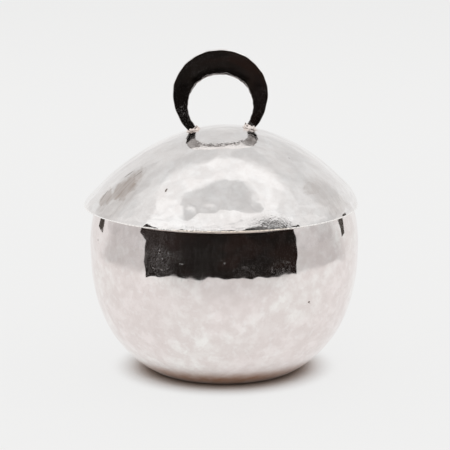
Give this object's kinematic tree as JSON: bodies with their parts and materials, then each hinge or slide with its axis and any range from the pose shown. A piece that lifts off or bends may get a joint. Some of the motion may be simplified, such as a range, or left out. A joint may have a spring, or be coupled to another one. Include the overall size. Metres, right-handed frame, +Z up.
{
  "type": "covered sugar bowl",
  "caption": "Round hammered silver sugar bowl with a loose domed lid that overhangs the mouth and lifts off by a flat upright ring handle.",
  "frame": {"origin": "middle of the flat base, on the surface the bowl stands on", "axes": "+Z up through the middle of the bowl; the ring handle's plate stands in the XZ plane, and -Y is the side the picture shows"},
  "size_m": [0.1123, 0.112, 0.132],
  "materials": {
    "bowl_silver": "polished",
    "lid_silver": "polished",
    "ring_silver": "polished",
    "solder_silver": "satin"
  },
  "bodies": {
    "bowl": {"bowl_body": "bowl_silver"},
    "lid_seat": {"lid_collar": "lid_silver", "collar_solder": "solder_silver"},
    "lid_cover": {"lid_dome": "lid_silver", "ring_handle": "ring_silver", "handle_solder_left": "solder_silver", "handle_solder_right": "solder_silver"}
  },
  "joints": [
    {"name": "lid_lift", "type": "slide", "parent": "bowl", "child": "lid_seat", "axis": [0, 0, 1], "range_m": [0, 0.1]},
    {"name": "lid_turn", "type": "hinge", "parent": "lid_seat", "child": "lid_cover", "pos_m": [0, 0, 0.0741], "axis": [0, 0, 1], "continuous": true}
  ]
}
